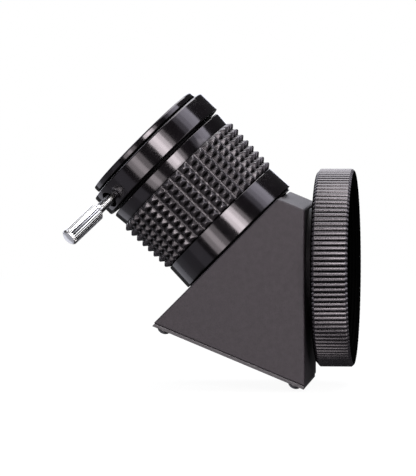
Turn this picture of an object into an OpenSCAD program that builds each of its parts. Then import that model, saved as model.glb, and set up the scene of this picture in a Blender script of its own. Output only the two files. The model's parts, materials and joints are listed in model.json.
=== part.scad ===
// 45-degree erecting prism diagonal with a knurled thread ring for a telescope's rear cell and a
// rubber-gripped helical focusing holder for 1.25 inch eyepieces. Millimetres, +Z up.
// The origin is the centre of the seat that a telescope's rear cell butts against, and +X points
// along the optical axis towards the telescope. The eyepiece axis lies in the XZ plane.

/* [Housing] */
// Height above the optical axis of the sharp edge where the two port faces would meet
apex_height = 30; // [29.5:0.1:30.5]
// Slant length of a port face from that sharp edge down to the base cover
port_face = 64.3; // [64:0.1:65.5]
// Length of the sharp edge that is cut off, along a port face
apex_cut = 11.3; // [10.8:0.1:11.8]
// Width across the two side plates
housing_w = 44; // [43:0.5:48]
// Wall thickness
wall = 2.5; // [2.2:0.1:2.8]
// Thickness of the base cover
cover_t = 1; // [1:0.1:1.4]
// Distance of a cover screw from the base corner, along the base
cover_screw_inset = 3.7; // [3.4:0.1:4.2]

/* [Prism] */
// Depth of the prism's entrance and exit faces behind the port faces
prism_depth = 6; // [6:0.1:6.4]
// Width of the prism
prism_w = 28; // [26:0.5:28]
// Diameter of the light path through the masks
aperture_d = 24; // [22:0.5:24.5]

/* [Thread ring] */
// Outside diameter over the knurls
ring_d = 60; // [58:0.5:62]
// Length of the ring
ring_l = 11.2; // [10.8:0.1:11.6]
// Gap between the ring and the housing
ring_gap = 2.2; // [2:0.1:2.5]
// Number of straight knurls
ring_knurls = 120; // [100:4:140]
// Minor diameter of the 2 inch, 24 threads per inch female thread
thread_minor_d = 49.66; // [49.6:0.01:49.8]

/* [Eyepiece holder] */
// Bore that takes a 1.25 inch (31.75 mm) eyepiece barrel
socket_d = 31.8; // [31.78:0.01:31.85]
// Outside diameter of the draw tube
draw_d = 35; // [34.8:0.1:35]
// Height of the fixed collar
collar_h = 8.8; // [8.6:0.1:9.2]
// Height of the rubber sleeve
sleeve_h = 18.55; // [18:0.05:19]
// Height of the turning ring's bare metal lip
lip_h = 4.35; // [4.1:0.05:4.7]
// Gap below the clamp ring when the draw tube is fully in
focus_gap = 0.95; // [0.75:0.05:1.25]
// Height of the clamp ring
clamp_h = 7; // [6.8:0.1:7.6]
// Outside diameter of the clamp ring
clamp_d = 45.5; // [45:0.1:46.2]
// Travel of the draw tube
focus_travel = 5; // [3:0.5:5]
// Rows of pyramids on the rubber sleeve
grip_rows = 8; // [6:1:9]
// Columns of pyramids round the rubber sleeve
grip_columns = 40; // [32:2:44]

/* [Thumbscrew] */
// Thread diameter of the thumbscrew
stem_d = 3; // [2.8:0.1:3.2]
// Diameter of the knob
knob_d = 5.4; // [5:0.1:6]
// Length of the knob
knob_l = 13.7; // [12.5:0.1:15]
// Distance of the knob's inner end from the eyepiece axis
knob_start = 28.5; // [27.6:0.1:29.5]
// Direction of the thumbscrew round the eyepiece axis: 0 is front, positive is towards the ring
thumbscrew_turn = -54; // [-70:1:-40]

/* [Hidden] */
$fn = 96;

eps = 0.02;          // clearance between fixed parts
run = 0.05;          // radial clearance of parts that turn or slide
past = 1;            // how far a cutter runs past a face
screw_r = 1;         // M2 screws throughout
head_r = 1.9;        // their heads
head_h = 1.4;
small_head_r = 1.8;  // heads inside the housing
small_head_h = 1.2;
slot_w = 0.44;       // width of a cross recess

// The housing is symmetric about a plane that leans 22.5 degrees from vertical.
half_angle = 22.5;
k = tan(half_angle);
flange_rim = 2;
flange_l = 7.25;                             // length of the coupling flange from the port face
face_x = -flange_l;                          // the telescope-side port face
port_reach = apex_height * k;                // both port faces are this far from where the axes meet
axes_x = face_x - port_reach;
base_u = port_face * cos(half_angle);        // depth of the base below the sharp edge
top_u = apex_cut * cos(half_angle);
cover_screw_x = (base_u + cover_t) * k - cover_screw_inset;
cover_screw_y = housing_w / 2 - 5;
cover_screw_l = 6.5;
boss_r = 3;
boss_h = 8;

// Prism: the roof edge lies where the folded axis meets the plane of symmetry.
prism_apex_u = prism_depth / sin(half_angle);
prism_h = apex_height - prism_depth / k;
roof_u = prism_apex_u + prism_h / sin(half_angle);
prism_top_u = prism_apex_u + 3.6;
roof_l = 32;
pad_t = 0.6;
pad_l = 8;
pad_h = 10;
pad_low_u = 41;
top_pad_w = 12;
cheek_t = 1.2;
cheek_l = 16;
cheek_y = prism_w / 2 + pad_t;
cheek_top_u = 28;
cradle_t = 1.5;
cradle_l = 32;
cradle_w = 2 * (cheek_y + cheek_t);
cradle_screw_x = 7;
upright_t = 3;
upright_x = 12.5;
upright_h = 15;
strap_w = 2.6;
strap_t = 0.4;
strap_end = 2.5;
clip_screw_u = 31;

// Coupling, in lengths from the port face.
port_hole_r = 13.5;
flange_bore_r = aperture_d / 2 + 0.3;
flange_screw_r = 15.7;
neck_r = 18;
rim_r = 24.2;
lip_t = 2.5;
ring_end = ring_gap + ring_l;
knurl_depth = 0.5;
ring_chamfer_r = 1.3;
ring_chamfer_l = 1.1;
thread_lead = 0.4;

// Eyepiece holder, in heights above its port face.
exit_hole_r = 14;
socket_r = socket_d / 2;
draw_r = draw_d / 2;
guide_r = draw_r + 1.1;
guide_top = 18.5;
floor_t = 0.9;
collar_r1 = 21.8;
collar_r2 = 21.5;
collar_neck_h = 0.7;
collar_neck_r = 21;
holder_screw_r = 19.7;
sleeve_z = collar_h + 0.15;
lip_z = sleeve_z + sleeve_h + eps;
lip_top = lip_z + lip_h;
lip_r = 22;
seat_r = 20.6;
sleeve_r = 22.3;
sleeve_flare = 0.6;
stud_h = 1.1;
retaining_turns = [90, 210, 330];
thread_z = guide_top + 0.4;
clamp_z = lip_top + focus_gap;
clamp_top = clamp_z + clamp_h;
end_h = 2.5;
end_r = 20.6;
end_neck_h = 0.5;
mouth_r = socket_r + 0.25;
mouth_lead = 0.8;
draw_z = 1.2;
draw_top = clamp_top + 0.85;
pin_z = 16;
groove_z = 12.4;
groove_w = 2.2;
slot_depth = 0.9;
slot_r = screw_r + run;
grub_turns = [150, 210];
screw_z = clamp_z + clamp_h / 2 - 0.4;
screw_recess_r = 2.7;
screw_recess_h = 1.8;
stem_tip = 0.4;
stem_end = knob_start + knob_l * 0.6;
knob_knurls = 30;
knob_knurl_depth = 0.25;

// Frames: the eyepiece port, the telescope port, and the leaning plane of symmetry.
module eyepiece_frame() {
    translate([axes_x, 0, 0]) rotate([0, -45, 0])
        translate([0, 0, port_reach]) children();
}
module coupling_frame() {
    translate([face_x, 0, 0]) rotate([0, 90, 0]) children();
}
module wedge_frame() {
    translate([face_x, 0, apex_height]) rotate([0, half_angle, 0]) children();
}
// A radial direction in the eyepiece frame: children's +Z points outwards at height z.
module radial(turn, z) {
    translate([0, 0, z]) rotate([0, 0, turn - 90]) rotate([0, 90, 0]) children();
}
module ring_of(count, r, start = 0) {
    for (i = [0:count - 1])
        rotate([0, 0, start + i * 360 / count]) translate([r, 0, 0]) children();
}

// A tube between two heights, whose outside may taper.
module tube(z0, z1, r_in, r_out, r_top = 0) {
    difference() {
        translate([0, 0, z0]) cylinder(h = z1 - z0, r1 = r_out, r2 = r_top > 0 ? r_top : r_out);
        translate([0, 0, z0 - past]) cylinder(h = z1 - z0 + 2 * past, r = r_in);
    }
}
module bore(z0, z1, r) {
    translate([0, 0, z0]) cylinder(h = z1 - z0, r = r);
}

// A block centred on X and Y, from height z up.
module centred_block(x, y, z, h) {
    translate([-x / 2, -y / 2, z]) cube([x, y, h]);
}

// The leaning wedge, from depth u0 to depth u1, its two port faces moved in by inset.
module wedge(u0, u1, width, inset = 0) {
    x0 = (u0 - inset / sin(half_angle)) * k;
    x1 = (u1 - inset / sin(half_angle)) * k;
    rotate([90, 0, 0]) linear_extrude(height = width, center = true)
        polygon([[-x0, -u0], [x0, -u0], [x1, -u1], [-x1, -u1]]);
}

// Screws: the head's seat is at z = 0 and +Z points out of the head.
module cross_recess(top, depth, r) {
    for (a = [0, 90]) rotate([0, 0, a])
        translate([-r, -slot_w / 2, top - depth]) cube([2 * r, slot_w, depth + past]);
}
module dome_screw(length, r = head_r, h = head_h) {
    dome_r = (r * r + h * h) / (2 * h);
    difference() {
        union() {
            translate([0, 0, -length]) cylinder(h = length, r = screw_r);
            intersection() {
                cylinder(h = h, r = r);
                translate([0, 0, h - dome_r * 1.25]) sphere(r = dome_r * 1.25);
            }
        }
        cross_recess(h, 0.7, 1.1);
    }
}
module flat_screw(length, r = head_r) {
    cone_h = r - screw_r;
    difference() {
        union() {
            translate([0, 0, -length]) cylinder(h = length - cone_h, r = screw_r);
            translate([0, 0, -cone_h]) cylinder(h = cone_h, r1 = screw_r, r2 = r);
        }
        cross_recess(0, 0.6, 1);
    }
}
module grub_screw(length) {
    difference() {
        cylinder(h = length, r = screw_r);
        translate([0, 0, length - 1]) cylinder(h = 1 + past, r = 0.5, $fn = 6);
    }
}
module countersink(r = head_r) {
    cone_h = r - screw_r + eps;
    translate([0, 0, -cone_h]) cylinder(h = cone_h, r1 = screw_r + eps, r2 = r + 2 * eps);
}
// A disc with straight knurls cut round its edge.
module knurled(z0, z1, r, count, depth, land = 0.55) {
    step = 360 / count;
    translate([0, 0, z0]) linear_extrude(height = z1 - z0)
        polygon([for (i = [0:count - 1], p = [[-0.5 * land, r], [0.5 * land, r], [0.5, r - depth]])
            [p[1] * cos((i + p[0]) * step), p[1] * sin((i + p[0]) * step)]]);
}
module chamfered(z0, z1, r, c) rotate_extrude()
    polygon([[0, z0], [r - c, z0], [r, z0 + c], [r, z1 - c], [r - c, z1], [0, z1]]);

module cover_screw_places() {
    for (x = [-1, 1], y = [-1, 1])
        translate([x * cover_screw_x, y * cover_screw_y, 0]) children();
}
module flange_screw_places() ring_of(4, flange_screw_r, 45) children();
module holder_screw_places() ring_of(3, holder_screw_r, 180) children();

// Die-cast shell, open at the base.
module prism_housing() color([0.2, 0.19, 0.2]) difference() {
    wedge_frame() difference() {
        wedge(top_u, base_u, housing_w);
        difference() {
            wedge(top_u + wall, base_u + past, housing_w - 2 * wall, wall);
            cover_screw_places() bore(-base_u - 2 * past, -base_u + boss_h, boss_r);
        }
        cover_screw_places() bore(-base_u - past, -base_u + boss_h - 1, screw_r + eps);
    }
    coupling_frame() {
        bore(-wall - past, past, port_hole_r);
        flange_screw_places() bore(-wall - past, past, screw_r + eps);
    }
    eyepiece_frame() {
        bore(-wall - past, past, exit_hole_r);
        holder_screw_places() bore(-wall - past, past, screw_r + 0.1);
    }
}

// Sheet cover that closes the base and carries the prism.
module base_cover() color([0.13, 0.13, 0.14]) wedge_frame() difference() {
    wedge(base_u, base_u + cover_t, housing_w - 0.8, 0.3);
    cover_screw_places() bore(-base_u - 3 * past, -base_u + past, screw_r + 0.1);
    for (x = [-cradle_screw_x, cradle_screw_x]) translate([x, 0, -base_u]) {
        bore(-3 * past, past, screw_r + eps);
        translate([0, 0, -cover_t]) rotate([180, 0, 0]) countersink();
    }
}
module cover_screws() color([0.1, 0.1, 0.1]) wedge_frame() cover_screw_places()
    translate([0, 0, -base_u - cover_t]) rotate([180, 0, 0]) dome_screw(cover_screw_l);

// The roof's cross section: a 90-degree edge at depth u, as wide as half_w on each side.
module roof_outline(u, half_w, top) {
    polygon([[0, -u], [half_w, half_w - u], [half_w, -top], [-half_w, -top], [-half_w, half_w - u]]);
}

// Schmidt roof prism: entrance and exit faces at 45 degrees, and a 90-degree roof over the base.
module roof_prism() color([0.75, 0.9, 0.95, 0.5]) wedge_frame() intersection() {
    wedge(prism_top_u, roof_u + past, prism_w, prism_depth);
    rotate([90, 0, 90]) linear_extrude(height = roof_l, center = true)
        roof_outline(roof_u, prism_w / 2, 0);
}

// Bracket on the cover: two V-notched uprights under the roof and two side cheeks.
module prism_cradle() color([0.12, 0.12, 0.12]) wedge_frame() difference() {
    union() {
        centred_block(cradle_l, cradle_w, -base_u, cradle_t);
        for (x = [-1, 1]) translate([x * upright_x, 0, 0])
            centred_block(upright_t, cradle_w, -base_u, upright_h);
        for (y = [-1, 1]) translate([0, y * (cheek_y + cheek_t / 2), 0])
            centred_block(cheek_l, cheek_t, -base_u, base_u - cheek_top_u);
    }
    rotate([90, 0, 90]) linear_extrude(height = cradle_l + 2 * past, center = true)
        roof_outline(roof_u + eps, cheek_y, 0);
    for (x = [-cradle_screw_x, cradle_screw_x]) translate([x, 0, 0])
        bore(-base_u - past, -base_u + cradle_t + past, screw_r + eps);
    for (y = [-1, 1]) translate([0, y * (cheek_y + cheek_t + past), -clip_screw_u])
        rotate([y * 90, 0, 0]) cylinder(h = cheek_t + 2 * past, r = screw_r + eps);
}
module cradle_screws() color([0.1, 0.1, 0.1]) wedge_frame()
    for (x = [-cradle_screw_x, cradle_screw_x]) translate([x, 0, -base_u - cover_t])
        rotate([180, 0, 0]) flat_screw(cover_t + cradle_t);

// Spring strap over the prism's flat top, screwed to the cheeks.
module prism_clip() color([0.55, 0.5, 0.4]) wedge_frame() difference() {
    out = cheek_y + cheek_t + strap_t + eps;
    low = -clip_screw_u - strap_end;
    height = -prism_top_u + pad_t + strap_t + eps - low;
    centred_block(strap_w, 2 * out, low, height);
    centred_block(2 * strap_w, 2 * (out - strap_t), low - past, height + past - strap_t);
    for (y = [-1, 1]) translate([0, y * (out + past), -clip_screw_u]) rotate([y * 90, 0, 0])
        cylinder(h = strap_t + 2 * past, r = screw_r + 0.1);
}
module clip_screws() color([0.1, 0.1, 0.1]) wedge_frame() for (y = [-1, 1])
    translate([0, y * (cheek_y + cheek_t + strap_t + 2 * eps), -clip_screw_u])
        rotate([-y * 90, 0, 0]) dome_screw(cheek_t + strap_t, small_head_r, small_head_h);

// Felt pads: one beside each flat side of the prism, and one under the strap.
module prism_pads() color([0.3, 0.25, 0.2]) wedge_frame() {
    for (y = [-1, 1]) translate([0, y * (prism_w / 2 + pad_t / 2), 0])
        centred_block(pad_l, pad_t - 2 * eps, -pad_low_u, pad_h);
    centred_block(strap_w, top_pad_w, -prism_top_u + eps, pad_t - 2 * eps);
}

// Thin black stops behind the two port walls.
module mask() tube(-wall - 0.4, -wall - eps, aperture_d / 2, exit_hole_r);
module entrance_mask() color([0.05, 0.05, 0.05]) coupling_frame() mask();
module exit_mask() color([0.05, 0.05, 0.05]) eyepiece_frame() mask();

// Turned flange on the telescope port. Its rim keeps the thread ring on, and its face is the seat.
module coupling_flange() color([0.12, 0.12, 0.13]) coupling_frame() difference() {
    union() {
        bore(-wall, eps, port_hole_r - eps);
        bore(0, flange_l - eps, neck_r);
        chamfered(flange_l - flange_rim, flange_l, rim_r, 0.3);
    }
    bore(-wall - past, flange_l + past, flange_bore_r);
    flange_screw_places() {
        bore(-past, flange_l + past, screw_r + eps);
        translate([0, 0, flange_l]) countersink();
    }
}
module flange_screws() color([0.1, 0.1, 0.1]) coupling_frame() flange_screw_places()
    translate([0, 0, flange_l - eps]) flat_screw(flange_l + wall - 2 * eps);
module ring_washer() color([0.9, 0.9, 0.88]) coupling_frame()
    tube(ring_gap + lip_t + run, flange_l - flange_rim - eps, neck_r + eps, rim_r - 0.4);

// Knurled coupling nut with the female thread, turning freely on the flange's neck.
module lock_ring() color([0.15, 0.15, 0.16]) coupling_frame() difference() {
    intersection() {
        knurled(ring_gap, ring_end, ring_d / 2, ring_knurls, knurl_depth);
        rotate_extrude() polygon([
            [0, ring_gap],
            [ring_d / 2 - ring_chamfer_r, ring_gap],
            [ring_d / 2 + 0.05, ring_gap + ring_chamfer_l + 0.04],
            [ring_d / 2 + 0.05, ring_end - 0.7],
            [ring_d / 2 - 0.62, ring_end],
            [0, ring_end]]);
    }
    bore(ring_gap - past, ring_end, neck_r + run + 0.01);
    bore(ring_gap + lip_t, flange_l, rim_r + 1.4);
    bore(flange_l, ring_end + past, thread_minor_d / 2);
    translate([0, 0, ring_end - thread_lead])
        cylinder(h = thread_lead + eps, r1 = thread_minor_d / 2, r2 = thread_minor_d / 2 + thread_lead);
}

// Fixed collar with the guide tube that carries the turning ring outside and the draw tube inside.
module holder_base() color([0.08, 0.08, 0.09]) eyepiece_frame() difference() {
    union() {
        bore(-wall, eps, exit_hole_r - eps);
        bore(0, collar_neck_h + eps, collar_neck_r);
        translate([0, 0, collar_neck_h])
            cylinder(h = collar_h - collar_neck_h, r1 = collar_r1, r2 = collar_r2);
        bore(0, guide_top, guide_r);
    }
    bore(-wall - past, floor_t + past, aperture_d / 2 + 0.6);
    bore(floor_t, guide_top + past, draw_r + run);
    tube(groove_z, groove_z + groove_w, guide_r - 0.5, guide_r + past);
    holder_screw_places() bore(-past, 5, screw_r + eps);
    for (a = [0, 180]) radial(a, pin_z) cylinder(h = guide_r + past, r = screw_r + eps);
}
module holder_screws() color([0.1, 0.1, 0.1]) eyepiece_frame() holder_screw_places()
    translate([0, 0, -wall]) rotate([180, 0, 0])
        dome_screw(wall + 4.5, small_head_r, small_head_h);

// Pins in the guide tube that keep the draw tube from turning.
module guide_pins() color([0.7, 0.7, 0.72]) eyepiece_frame() for (a = [0, 180]) radial(a, pin_z)
    translate([0, 0, draw_r - 0.85]) cylinder(h = guide_r - draw_r + 0.8, r = screw_r);

// Turning ring: its upper bore is the helical thread that drives the draw tube.
module grip_ring() color([0.08, 0.08, 0.09]) eyepiece_frame() difference() {
    union() {
        bore(sleeve_z, lip_z, seat_r);
        rotate_extrude() polygon([
            [0, lip_z],
            [lip_r - 0.4, lip_z],
            [lip_r, lip_top - 0.3],
            [lip_r - 0.3, lip_top],
            [0, lip_top]]);
    }
    bore(sleeve_z - past, thread_z, guide_r + run);
    bore(thread_z - past, lip_top + past, draw_r + run);
    for (a = retaining_turns) radial(a, groove_z + groove_w / 2)
        cylinder(h = seat_r + past, r = screw_r + eps);
}
module retaining_screws() color([0.1, 0.1, 0.1]) eyepiece_frame() for (a = retaining_turns)
    radial(a, groove_z + groove_w / 2) translate([0, 0, guide_r - 0.4])
        grub_screw(seat_r - guide_r + 0.3);

// The sleeve's tips stand out a little more at its top than at its foot.
function sleeve_tip(rows) = sleeve_r + sleeve_flare * rows / grip_rows;

// Rubber sleeve: rows of ridges cut into columns, which leaves blunt pyramids.
module grip_sleeve() color([0.1, 0.1, 0.1]) eyepiece_frame() difference() {
    row = sleeve_h / grip_rows;
    intersection() {
        knurled(sleeve_z, sleeve_z + sleeve_h, sleeve_r + 1.3, grip_columns, 2, 0.2);
        rotate_extrude() polygon(concat(
            [[0, sleeve_z]],
            [for (i = [0:grip_rows - 1], p = [[0.04, -stud_h], [0.36, 0], [0.64, 0], [0.96, -stud_h]])
                [sleeve_tip(i + p[0]) + p[1], sleeve_z + (i + p[0]) * row]],
            [[0, sleeve_z + sleeve_h]]));
    }
    bore(sleeve_z - past, lip_z + past, seat_r + eps);
}

// Draw tube, with the eyepiece bore and two guide slots.
module draw_tube() color([0.1, 0.1, 0.11]) eyepiece_frame() difference() {
    bore(draw_z, draw_top, draw_r);
    bore(draw_z - past, draw_top + past, socket_r);
    for (a = [0, 180]) rotate([0, 0, a - 90])
        translate([draw_r - slot_depth + past, 0, 0])
            centred_block(2 * past, slot_r * 2, pin_z - focus_travel - slot_r, focus_travel + 2 * slot_r);
    radial(thumbscrew_turn, screw_z) cylinder(h = draw_r + past, r = stem_d / 2 + run);
}

// Ring on the head of the draw tube that holds the thumbscrew.
module clamp_ring() color([0.08, 0.08, 0.09]) eyepiece_frame() difference() {
    chamfered(clamp_z, clamp_top, clamp_d / 2, 0.3);
    bore(clamp_z - past, clamp_top + past, draw_r + eps);
    radial(thumbscrew_turn, screw_z) {
        cylinder(h = clamp_d, r = stem_d / 2 + run);
        translate([0, 0, clamp_d / 2 - screw_recess_h]) cylinder(h = clamp_d, r = screw_recess_r);
    }
    for (a = grub_turns) radial(a, screw_z) cylinder(h = clamp_d, r = screw_r + eps);
}
module clamp_grub_screws() color([0.1, 0.1, 0.1]) eyepiece_frame() for (a = grub_turns)
    radial(a, screw_z) translate([0, 0, draw_r + eps]) grub_screw(4.2);

// Ring screwed on the top of the draw tube, which holds the clamp ring down.
module end_ring() color([0.14, 0.14, 0.15]) eyepiece_frame() difference() {
    union() {
        bore(clamp_top, clamp_top + end_neck_h + eps, end_r - 1);
        chamfered(clamp_top + end_neck_h, clamp_top + end_h, end_r, 0.3);
    }
    bore(clamp_top - past, draw_top + eps, draw_r + eps);
    bore(draw_top, clamp_top + end_h + past, mouth_r);
    translate([0, 0, clamp_top + end_h - mouth_lead])
        cylinder(h = mouth_lead + eps, r1 = mouth_r, r2 = mouth_r + mouth_lead);
}

// Thumbscrew: a threaded stem, and a knurled knob fixed on it.
module thumbscrew_stem() color([0.8, 0.8, 0.82]) eyepiece_frame() radial(thumbscrew_turn, screw_z) {
    tip = socket_r + run;
    translate([0, 0, tip]) cylinder(h = stem_tip, r1 = stem_d / 2 - stem_tip, r2 = stem_d / 2);
    bore(tip + stem_tip, stem_end, stem_d / 2);
}
module thumbscrew_knob() color([0.85, 0.85, 0.87]) {
    end = knob_start + knob_l;
    eyepiece_frame() radial(thumbscrew_turn, screw_z) difference() {
        intersection() {
            knurled(knob_start, end, knob_d / 2, knob_knurls, knob_knurl_depth);
            rotate_extrude() polygon([
                [0, knob_start],
                [knob_d / 2 - 0.6, knob_start],
                [knob_d / 2 + 0.1, knob_start + 0.7],
                [knob_d / 2 + 0.1, end - 0.9],
                [knob_d / 2 - 0.6, end - 0.2],
                [0, end]]);
        }
        bore(knob_start - past, stem_end + run, stem_d / 2 + run);
    }
}

prism_housing();
base_cover();
cover_screws();
roof_prism();
prism_cradle();
cradle_screws();
prism_clip();
clip_screws();
prism_pads();
entrance_mask();
exit_mask();
coupling_flange();
flange_screws();
ring_washer();
lock_ring();
holder_base();
holder_screws();
guide_pins();
grip_ring();
grip_sleeve();
retaining_screws();
draw_tube();
clamp_ring();
clamp_grub_screws();
end_ring();
thumbscrew_stem();
thumbscrew_knob();
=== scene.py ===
import json
import math

import bmesh
import bpy
import numpy as np
from mathutils import Matrix, Vector


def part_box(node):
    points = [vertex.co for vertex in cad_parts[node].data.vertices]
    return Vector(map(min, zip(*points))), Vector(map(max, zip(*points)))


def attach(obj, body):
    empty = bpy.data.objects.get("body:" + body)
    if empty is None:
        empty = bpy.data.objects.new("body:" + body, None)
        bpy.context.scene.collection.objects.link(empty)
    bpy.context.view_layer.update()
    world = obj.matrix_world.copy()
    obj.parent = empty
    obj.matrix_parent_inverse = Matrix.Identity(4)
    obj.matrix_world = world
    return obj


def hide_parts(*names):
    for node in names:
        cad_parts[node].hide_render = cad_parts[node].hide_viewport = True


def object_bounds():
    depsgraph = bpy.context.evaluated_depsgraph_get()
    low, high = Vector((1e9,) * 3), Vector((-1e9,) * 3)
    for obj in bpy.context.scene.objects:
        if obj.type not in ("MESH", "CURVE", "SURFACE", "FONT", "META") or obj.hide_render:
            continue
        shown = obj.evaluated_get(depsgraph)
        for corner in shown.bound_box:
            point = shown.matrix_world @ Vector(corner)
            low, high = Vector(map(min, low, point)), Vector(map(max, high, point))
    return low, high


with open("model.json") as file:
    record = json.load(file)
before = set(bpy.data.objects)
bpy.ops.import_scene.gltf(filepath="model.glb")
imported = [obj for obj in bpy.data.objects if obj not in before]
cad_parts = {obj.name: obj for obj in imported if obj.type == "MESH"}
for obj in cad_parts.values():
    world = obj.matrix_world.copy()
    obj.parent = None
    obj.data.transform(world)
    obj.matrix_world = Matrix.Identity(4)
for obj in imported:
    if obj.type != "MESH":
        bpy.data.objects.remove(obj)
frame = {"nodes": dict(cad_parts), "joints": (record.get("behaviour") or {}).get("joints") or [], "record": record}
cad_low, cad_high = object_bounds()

MM = 0.001
TAU = 2 * math.pi
scene = bpy.context.scene
record = frame["record"]
JOINTS = {joint["name"]: joint for joint in frame["joints"]}
MOUNTS = {mount["name"]: mount for mount in record["mounts"]}


# ---------------------------------------------------------------- frames from the CAD

def placed(origin, z_axis, x_hint):
    """A frame with its local Z along z_axis and its local X near x_hint. Origin in metres."""
    z = Vector(z_axis).normalized()
    x = (Vector(x_hint) - Vector(x_hint).dot(z) * z).normalized()
    y = z.cross(x)
    m = Matrix((x, y, z)).transposed().to_4x4()
    m.translation = Vector(origin)
    return m


def in_frame(node, place):
    """A CAD node's vertices in a frame's own millimetres."""
    co = np.array([v.co for v in frame["nodes"][node].data.vertices], float)
    inv = np.array(place.inverted())
    return (co @ inv[:3, :3].T + inv[:3, 3]) / MM


def span(node, place):
    """Lowest and highest height and least and largest radius of a CAD node about a frame's Z."""
    p = in_frame(node, place)
    r = np.hypot(p[:, 0], p[:, 1])
    return p[:, 2].min(), p[:, 2].max(), r.min(), r.max()


def seen_from(place, base):
    """One frame as another sees it, with its translation in millimetres."""
    m = base.inverted() @ place
    m.translation = m.translation / MM
    return m


# EYE: the eyepiece axis, outwards. PORT: the telescope axis, into the housing's port.
# THUMB: the thumbscrew's axis, outwards.
EYE = placed(JOINTS["focus_turn"]["pos_m"], JOINTS["focus_travel"]["axis"], (1, 0, 1))
PORT = placed(MOUNTS["telescope_thread"]["pos_m"], MOUNTS["telescope_thread"]["axis"], (0, 0, -1))
knob_joint = JOINTS["thumbscrew_turn"]
THUMB = placed(knob_joint["pos_m"], [-c for c in knob_joint["axis"]], EYE.col[2][:3])

# WEDGE: the housing's leaning plane of symmetry, halfway between its two port faces. Its origin is
# the edge where the port faces would meet, and its Z runs up the lean.
LEAN = math.radians(22.5)
SLOPE = math.tan(LEAN)
face_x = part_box("prism_housing")[1].x
edge_z = (face_x - JOINTS["focus_turn"]["pos_m"][0]) / SLOPE
WEDGE = placed((face_x, 0, edge_z), (math.sin(LEAN), 0, math.cos(LEAN)), (1, 0, 0))


# ---------------------------------------------------------------- mesh tools

def rounded(points, radius, steps=3, closed=True):
    """A 2-D outline with its corners rounded. radius is one number or one for each corner."""
    nearly_straight = math.pi / 2 - 0.02
    out, n = [], len(points)
    for i, point in enumerate(points):
        p = Vector(point)
        r = radius[i] if isinstance(radius, (list, tuple)) else radius
        if r <= 0 or (not closed and i in (0, n - 1)):
            out.append(tuple(p))
            continue
        to_a, to_b = Vector(points[i - 1]) - p, Vector(points[(i + 1) % n]) - p
        half = to_a.angle(to_b) / 2
        if half > nearly_straight:
            out.append(tuple(p))
            continue
        cut = min(r / math.tan(half), 0.45 * to_a.length, 0.45 * to_b.length)
        ua, ub = to_a.normalized(), to_b.normalized()
        centre = p + (ua + ub).normalized() * (cut / math.cos(half))
        a, b = p + ua * cut - centre, p + ub * cut - centre
        turn = a.angle(b)
        for s in range(steps + 1):
            f = s / steps
            arm = (a * math.sin((1 - f) * turn) + b * math.sin(f * turn)) / math.sin(turn)
            out.append(tuple(centre + arm))
    return out


def line(a, b, count):
    """Evenly spaced points from a up to, but not including, b."""
    return [tuple(Vector(a).lerp(Vector(b), i / count)) for i in range(count)]


def tidy_normals(mesh):
    """Welds double points and turns every face outwards."""
    bm = bmesh.new()
    bm.from_mesh(mesh)
    bmesh.ops.remove_doubles(bm, verts=bm.verts, dist=1e-7)
    bmesh.ops.recalc_face_normals(bm, faces=bm.faces)
    bm.to_mesh(mesh)
    bm.free()
    return mesh


def from_arrays(verts, faces):
    """A mesh from millimetre vertices."""
    mesh = bpy.data.meshes.new("part")
    mesh.from_pydata((np.asarray(verts, float) * MM).tolist(), [], faces)
    mesh.validate()
    return tidy_normals(mesh)


def lathe(profile, segments, shape=None, closed=True):
    """A profile of (radius, height) turned round Z. shape(r, z, angle) may move its points.
    A closed profile makes a ring. An open one starts and ends on the axis."""
    p = np.array(profile, float)
    t = np.repeat((np.arange(segments) * TAU / segments)[:, None], len(p), axis=1)
    r, z = np.tile(p[:, 0], (segments, 1)), np.tile(p[:, 1], (segments, 1))
    if shape:
        r, z = shape(r, z, t)
    xyz = np.stack([r * np.cos(t), r * np.sin(t), z], -1)
    m = len(p)
    if closed:
        i, j = np.meshgrid(np.arange(segments), np.arange(m), indexing="ij")
        i2, j2 = (i + 1) % segments, (j + 1) % m
        quads = np.stack([i * m + j, i2 * m + j, i2 * m + j2, i * m + j2], -1).reshape(-1, 4)
        return from_arrays(xyz.reshape(-1, 3), quads.tolist())
    inner = xyz[:, 1:-1].reshape(-1, 3)
    verts = np.vstack([inner, [[0, 0, p[0, 1]], [0, 0, p[-1, 1]]]])
    k, low, top = m - 2, segments * (m - 2), segments * (m - 2) + 1
    faces = []
    for a in range(segments):
        b = (a + 1) % segments
        faces.append([low, b * k, a * k])
        faces.append([top, a * k + k - 1, b * k + k - 1])
        faces += [[a * k + j, b * k + j, b * k + j + 1, a * k + j + 1] for j in range(k - 1)]
    return from_arrays(verts, faces)


def extruded(outline, low, high, plane="xy"):
    """A 2-D outline made into a prism. Plane xz puts the outline in X and Z, with low and high along Y."""
    n = len(outline)
    put = (lambda u, v, w: (u, v, w)) if plane == "xy" else (lambda u, v, w: (u, w, v))
    verts = [put(u, v, w) for w in (low, high) for u, v in outline]
    faces = [list(range(n)), list(range(2 * n - 1, n - 1, -1))]
    faces += [[i, i + n, (i + 1) % n + n, (i + 1) % n] for i in range(n)]
    return from_arrays(verts, faces)


def cone(radius_low, radius_high, low, high, segments=48):
    """A closed cone from low to high, with a flat at each end."""
    return lathe([(0, low), (radius_low, low), (radius_high, high), (0, high)], segments, closed=False)


def rod(radius, low, high, segments=48):
    """A closed cylinder from low to high."""
    return cone(radius, radius, low, high, segments)


def moved(mesh, matrix):
    """A copy of a mesh, moved by a matrix whose translation is in millimetres."""
    m = matrix.copy()
    m.translation = m.translation * MM
    out = mesh.copy()
    out.transform(m)
    return out


def at(x, y, z):
    """A shift in millimetres."""
    return Matrix.Translation((x, y, z))


def turned(degrees, axis="Z"):
    """A turn about an axis."""
    return Matrix.Rotation(math.radians(degrees), 4, axis)


def joined(meshes):
    """One mesh of several."""
    bm = bmesh.new()
    for mesh in meshes:
        bm.from_mesh(mesh)
    out = bpy.data.meshes.new("joined")
    bm.to_mesh(out)
    bm.free()
    return out


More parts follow.
